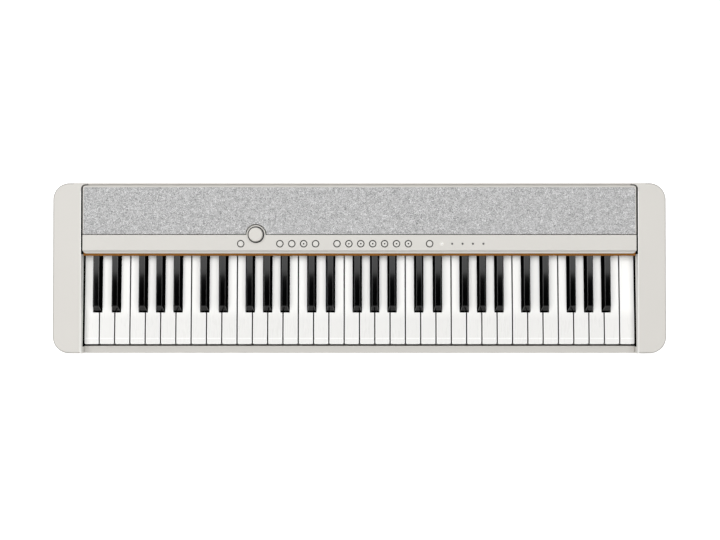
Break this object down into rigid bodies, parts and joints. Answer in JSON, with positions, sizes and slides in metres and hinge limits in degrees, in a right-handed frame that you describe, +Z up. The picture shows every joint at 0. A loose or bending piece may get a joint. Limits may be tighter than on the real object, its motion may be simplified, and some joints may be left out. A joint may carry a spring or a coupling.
{
  "type": "portable keyboard",
  "caption": "Slim portable electronic keyboard with full-size piano keys, round buttons, a volume knob and a cloth-covered speaker strip between rounded end blocks.",
  "frame": {"origin": "middle of the table surface under the keyboard, at the centre of its length and depth", "axes": "+X towards the treble end, +Y away from the player, +Z up"},
  "size_m": [0.93, 0.258, 0.0732],
  "materials": {
    "case_white": "satin",
    "white_key": "semi-gloss",
    "black_key": "matte",
    "grille_cloth": "heather weave",
    "felt": "felt",
    "button_plastic": "satin",
    "light_lens": "clear",
    "rubber": "matte",
    "chassis_plastic": "matte",
    "circuit_board": "lacquer",
    "speaker": "matte",
    "socket": "matte"
  },
  "bodies": {
    "case": {"lower_case": "case_white", "left_end_block": "case_white", "right_end_block": "case_white", "control_panel": "case_white", "speaker_grille": "grille_cloth", "key_felt": "felt", "key_chassis": "chassis_plastic", "contact_board": "circuit_board", "contact_rubber": "rubber", "main_board": "circuit_board", "panel_board": "circuit_board", "jack_board": "socket", "pedal_jack": "socket", "light_strip": "light_lens", "left_speaker": "speaker", "right_speaker": "speaker", "front_left_foot": "rubber", "front_right_foot": "rubber", "rear_left_foot": "rubber", "rear_right_foot": "rubber"},
    "battery_cover": {"battery_cover": "case_white"},
    "volume_knob": {"volume_knob": "button_plastic"},
    "power_button": {"power_button": "button_plastic"},
    "left_button_1": {"left_button_1": "button_plastic"},
    "left_button_2": {"left_button_2": "button_plastic"},
    "left_button_3": {"left_button_3": "button_plastic"},
    "left_button_4": {"left_button_4": "button_plastic"},
    "centre_button_1": {"centre_button_1": "button_plastic"},
    "centre_button_2": {"centre_button_2": "button_plastic"},
    "centre_button_3": {"centre_button_3": "button_plastic"},
    "centre_button_4": {"centre_button_4": "button_plastic"},
    "centre_button_5": {"centre_button_5": "button_plastic"},
    "centre_button_6": {"centre_button_6": "button_plastic"},
    "centre_button_7": {"centre_button_7": "button_plastic"},
    "right_button": {"right_button": "button_plastic"},
    "keys_cegb_1": {"keys_cegb_1": "white_key"},
    "keys_dfa_1": {"keys_dfa_1": "white_key"},
    "keys_black_1": {"keys_black_1": "black_key"},
    "keys_cegb_2": {"keys_cegb_2": "white_key"},
    "keys_dfa_2": {"keys_dfa_2": "white_key"},
    "keys_black_2": {"keys_black_2": "black_key"},
    "key_c": {"key_c": "white_key"},
    "key_c_sharp": {"key_c_sharp": "black_key"},
    "key_d": {"key_d": "white_key"},
    "key_d_sharp": {"key_d_sharp": "black_key"},
    "key_e": {"key_e": "white_key"},
    "key_f": {"key_f": "white_key"},
    "key_f_sharp": {"key_f_sharp": "black_key"},
    "key_g": {"key_g": "white_key"},
    "key_g_sharp": {"key_g_sharp": "black_key"},
    "key_a": {"key_a": "white_key"},
    "key_a_sharp": {"key_a_sharp": "black_key"},
    "key_b": {"key_b": "white_key"},
    "keys_cegb_4": {"keys_cegb_4": "white_key"},
    "keys_dfa_4": {"keys_dfa_4": "white_key"},
    "keys_black_4": {"keys_black_4": "black_key"},
    "keys_cegb_5": {"keys_cegb_5": "white_key"},
    "keys_dfa_5": {"keys_dfa_5": "white_key"},
    "keys_black_5": {"keys_black_5": "black_key"},
    "key_c_top": {"key_c_top": "white_key"}
  },
  "joints": [
    {"name": "battery_cover_hinge", "type": "hinge", "parent": "case", "child": "battery_cover", "pos_m": [0.09, 0.1138, 0.0036], "axis": [1, 0, 0], "range_deg": [0, 80]},
    {"name": "volume_knob_turn", "type": "hinge", "parent": "case", "child": "volume_knob", "pos_m": [-0.157, 0.0506, 0.06431], "axis": [0, -0.0407, 0.9992], "range_deg": [-150, 150]},
    {"name": "power_button_press", "type": "slide", "parent": "case", "child": "power_button", "axis": [0, 0.0407, -0.9992], "range_m": [0, 0.001], "stiffness_N_per_m": 900, "springref_m": -0.0005},
    {"name": "left_button_1_press", "type": "slide", "parent": "case", "child": "left_button_1", "axis": [0, 0.0407, -0.9992], "range_m": [0, 0.001], "stiffness_N_per_m": 900, "springref_m": -0.0005},
    {"name": "left_button_2_press", "type": "slide", "parent": "case", "child": "left_button_2", "axis": [0, 0.0407, -0.9992], "range_m": [0, 0.001], "stiffness_N_per_m": 900, "springref_m": -0.0005},
    {"name": "left_button_3_press", "type": "slide", "parent": "case", "child": "left_button_3", "axis": [0, 0.0407, -0.9992], "range_m": [0, 0.001], "stiffness_N_per_m": 900, "springref_m": -0.0005},
    {"name": "left_button_4_press", "type": "slide", "parent": "case", "child": "left_button_4", "axis": [0, 0.0407, -0.9992], "range_m": [0, 0.001], "stiffness_N_per_m": 900, "springref_m": -0.0005},
    {"name": "centre_button_1_press", "type": "slide", "parent": "case", "child": "centre_button_1", "axis": [0, 0.0407, -0.9992], "range_m": [0, 0.001], "stiffness_N_per_m": 900, "springref_m": -0.0005},
    {"name": "centre_button_2_press", "type": "slide", "parent": "case", "child": "centre_button_2", "axis": [0, 0.0407, -0.9992], "range_m": [0, 0.001], "stiffness_N_per_m": 900, "springref_m": -0.0005},
    {"name": "centre_button_3_press", "type": "slide", "parent": "case", "child": "centre_button_3", "axis": [0, 0.0407, -0.9992], "range_m": [0, 0.001], "stiffness_N_per_m": 900, "springref_m": -0.0005},
    {"name": "centre_button_4_press", "type": "slide", "parent": "case", "child": "centre_button_4", "axis": [0, 0.0407, -0.9992], "range_m": [0, 0.001], "stiffness_N_per_m": 900, "springref_m": -0.0005},
    {"name": "centre_button_5_press", "type": "slide", "parent": "case", "child": "centre_button_5", "axis": [0, 0.0407, -0.9992], "range_m": [0, 0.001], "stiffness_N_per_m": 900, "springref_m": -0.0005},
    {"name": "centre_button_6_press", "type": "slide", "parent": "case", "child": "centre_button_6", "axis": [0, 0.0407, -0.9992], "range_m": [0, 0.001], "stiffness_N_per_m": 900, "springref_m": -0.0005},
    {"name": "centre_button_7_press", "type": "slide", "parent": "case", "child": "centre_button_7", "axis": [0, 0.0407, -0.9992], "range_m": [0, 0.001], "stiffness_N_per_m": 900, "springref_m": -0.0005},
    {"name": "right_button_press", "type": "slide", "parent": "case", "child": "right_button", "axis": [0, 0.0407, -0.9992], "range_m": [0, 0.001], "stiffness_N_per_m": 900, "springref_m": -0.0005},
    {"name": "keys_cegb_1_press", "type": "hinge", "parent": "case", "child": "keys_cegb_1", "pos_m": [-0.34, 0.06, 0.0346], "axis": [1, 0, 0], "range_deg": [0, 3.2], "stiffness_Nm_per_rad": 2.4, "springref_deg": -5.73},
    {"name": "keys_dfa_1_press", "type": "hinge", "parent": "case", "child": "keys_dfa_1", "pos_m": [-0.34, 0.06, 0.0346], "axis": [1, 0, 0], "range_deg": [0, 3.2], "stiffness_Nm_per_rad": 1.8, "springref_deg": -5.73},
    {"name": "keys_black_1_press", "type": "hinge", "parent": "case", "child": "keys_black_1", "pos_m": [-0.34, 0.06, 0.0346], "axis": [1, 0, 0], "range_deg": [0, 3.2], "stiffness_Nm_per_rad": 2.5, "springref_deg": -5.73},
    {"name": "keys_cegb_2_press", "type": "hinge", "parent": "case", "child": "keys_cegb_2", "pos_m": [-0.176, 0.06, 0.0346], "axis": [1, 0, 0], "range_deg": [0, 3.2], "stiffness_Nm_per_rad": 2.4, "springref_deg": -5.73},
    {"name": "keys_dfa_2_press", "type": "hinge", "parent": "case", "child": "keys_dfa_2", "pos_m": [-0.176, 0.06, 0.0346], "axis": [1, 0, 0], "range_deg": [0, 3.2], "stiffness_Nm_per_rad": 1.8, "springref_deg": -5.73},
    {"name": "keys_black_2_press", "type": "hinge", "parent": "case", "child": "keys_black_2", "pos_m": [-0.176, 0.06, 0.0346], "axis": [1, 0, 0], "range_deg": [0, 3.2], "stiffness_Nm_per_rad": 2.5, "springref_deg": -5.73},
    {"name": "key_c_press", "type": "hinge", "parent": "case", "child": "key_c", "pos_m": [-0.087, 0.06, 0.0346], "axis": [1, 0, 0], "range_deg": [0, 3.2], "stiffness_Nm_per_rad": 0.6, "springref_deg": -5.73},
    {"name": "key_c_sharp_press", "type": "hinge", "parent": "case", "child": "key_c_sharp", "pos_m": [-0.0733, 0.06, 0.0346], "axis": [1, 0, 0], "range_deg": [0, 3.2], "stiffness_Nm_per_rad": 0.5, "springref_deg": -5.73},
    {"name": "key_d_press", "type": "hinge", "parent": "case", "child": "key_d", "pos_m": [-0.059, 0.06, 0.0346], "axis": [1, 0, 0], "range_deg": [0, 3.2], "stiffness_Nm_per_rad": 0.6, "springref_deg": -5.73},
    {"name": "key_d_sharp_press", "type": "hinge", "parent": "case", "child": "key_d_sharp", "pos_m": [-0.0446, 0.06, 0.0346], "axis": [1, 0, 0], "range_deg": [0, 3.2], "stiffness_Nm_per_rad": 0.5, "springref_deg": -5.73},
    {"name": "key_e_press", "type": "hinge", "parent": "case", "child": "key_e", "pos_m": [-0.0305, 0.06, 0.0346], "axis": [1, 0, 0], "range_deg": [0, 3.2], "stiffness_Nm_per_rad": 0.6, "springref_deg": -5.73},
    {"name": "key_f_press", "type": "hinge", "parent": "case", "child": "key_f", "pos_m": [-0.017, 0.06, 0.0346], "axis": [1, 0, 0], "range_deg": [0, 3.2], "stiffness_Nm_per_rad": 0.6, "springref_deg": -5.73},
    {"name": "key_f_sharp_press", "type": "hinge", "parent": "case", "child": "key_f_sharp", "pos_m": [-0.0034, 0.06, 0.0346], "axis": [1, 0, 0], "range_deg": [0, 3.2], "stiffness_Nm_per_rad": 0.5, "springref_deg": -5.73},
    {"name": "key_g_press", "type": "hinge", "parent": "case", "child": "key_g", "pos_m": [0.01, 0.06, 0.0346], "axis": [1, 0, 0], "range_deg": [0, 3.2], "stiffness_Nm_per_rad": 0.6, "springref_deg": -5.73},
    {"name": "key_g_sharp_press", "type": "hinge", "parent": "case", "child": "key_g_sharp", "pos_m": [0.0233, 0.06, 0.0346], "axis": [1, 0, 0], "range_deg": [0, 3.2], "stiffness_Nm_per_rad": 0.5, "springref_deg": -5.73},
    {"name": "key_a_press", "type": "hinge", "parent": "case", "child": "key_a", "pos_m": [0.0367, 0.06, 0.0346], "axis": [1, 0, 0], "range_deg": [0, 3.2], "stiffness_Nm_per_rad": 0.6, "springref_deg": -5.73},
    {"name": "key_a_sharp_press", "type": "hinge", "parent": "case", "child": "key_a_sharp", "pos_m": [0.0501, 0.06, 0.0346], "axis": [1, 0, 0], "range_deg": [0, 3.2], "stiffness_Nm_per_rad": 0.5, "springref_deg": -5.73},
    {"name": "key_b_press", "type": "hinge", "parent": "case", "child": "key_b", "pos_m": [0.0638, 0.06, 0.0346], "axis": [1, 0, 0], "range_deg": [0, 3.2], "stiffness_Nm_per_rad": 0.6, "springref_deg": -5.73},
    {"name": "keys_cegb_4_press", "type": "hinge", "parent": "case", "child": "keys_cegb_4", "pos_m": [0.153, 0.06, 0.0346], "axis": [1, 0, 0], "range_deg": [0, 3.2], "stiffness_Nm_per_rad": 2.4, "springref_deg": -5.73},
    {"name": "keys_dfa_4_press", "type": "hinge", "parent": "case", "child": "keys_dfa_4", "pos_m": [0.153, 0.06, 0.0346], "axis": [1, 0, 0], "range_deg": [0, 3.2], "stiffness_Nm_per_rad": 1.8, "springref_deg": -5.73},
    {"name": "keys_black_4_press", "type": "hinge", "parent": "case", "child": "keys_black_4", "pos_m": [0.153, 0.06, 0.0346], "axis": [1, 0, 0], "range_deg": [0, 3.2], "stiffness_Nm_per_rad": 2.5, "springref_deg": -5.73},
    {"name": "keys_cegb_5_press", "type": "hinge", "parent": "case", "child": "keys_cegb_5", "pos_m": [0.317, 0.06, 0.0346], "axis": [1, 0, 0], "range_deg": [0, 3.2], "stiffness_Nm_per_rad": 2.4, "springref_deg": -5.73},
    {"name": "keys_dfa_5_press", "type": "hinge", "parent": "case", "child": "keys_dfa_5", "pos_m": [0.317, 0.06, 0.0346], "axis": [1, 0, 0], "range_deg": [0, 3.2], "stiffness_Nm_per_rad": 1.8, "springref_deg": -5.73},
    {"name": "keys_black_5_press", "type": "hinge", "parent": "case", "child": "keys_black_5", "pos_m": [0.317, 0.06, 0.0346], "axis": [1, 0, 0], "range_deg": [0, 3.2], "stiffness_Nm_per_rad": 2.5, "springref_deg": -5.73},
    {"name": "key_c_top_press", "type": "hinge", "parent": "case", "child": "key_c_top", "pos_m": [0.41, 0.06, 0.0346], "axis": [1, 0, 0], "range_deg": [0, 3.2], "stiffness_Nm_per_rad": 0.6, "springref_deg": -5.73}
  ]
}
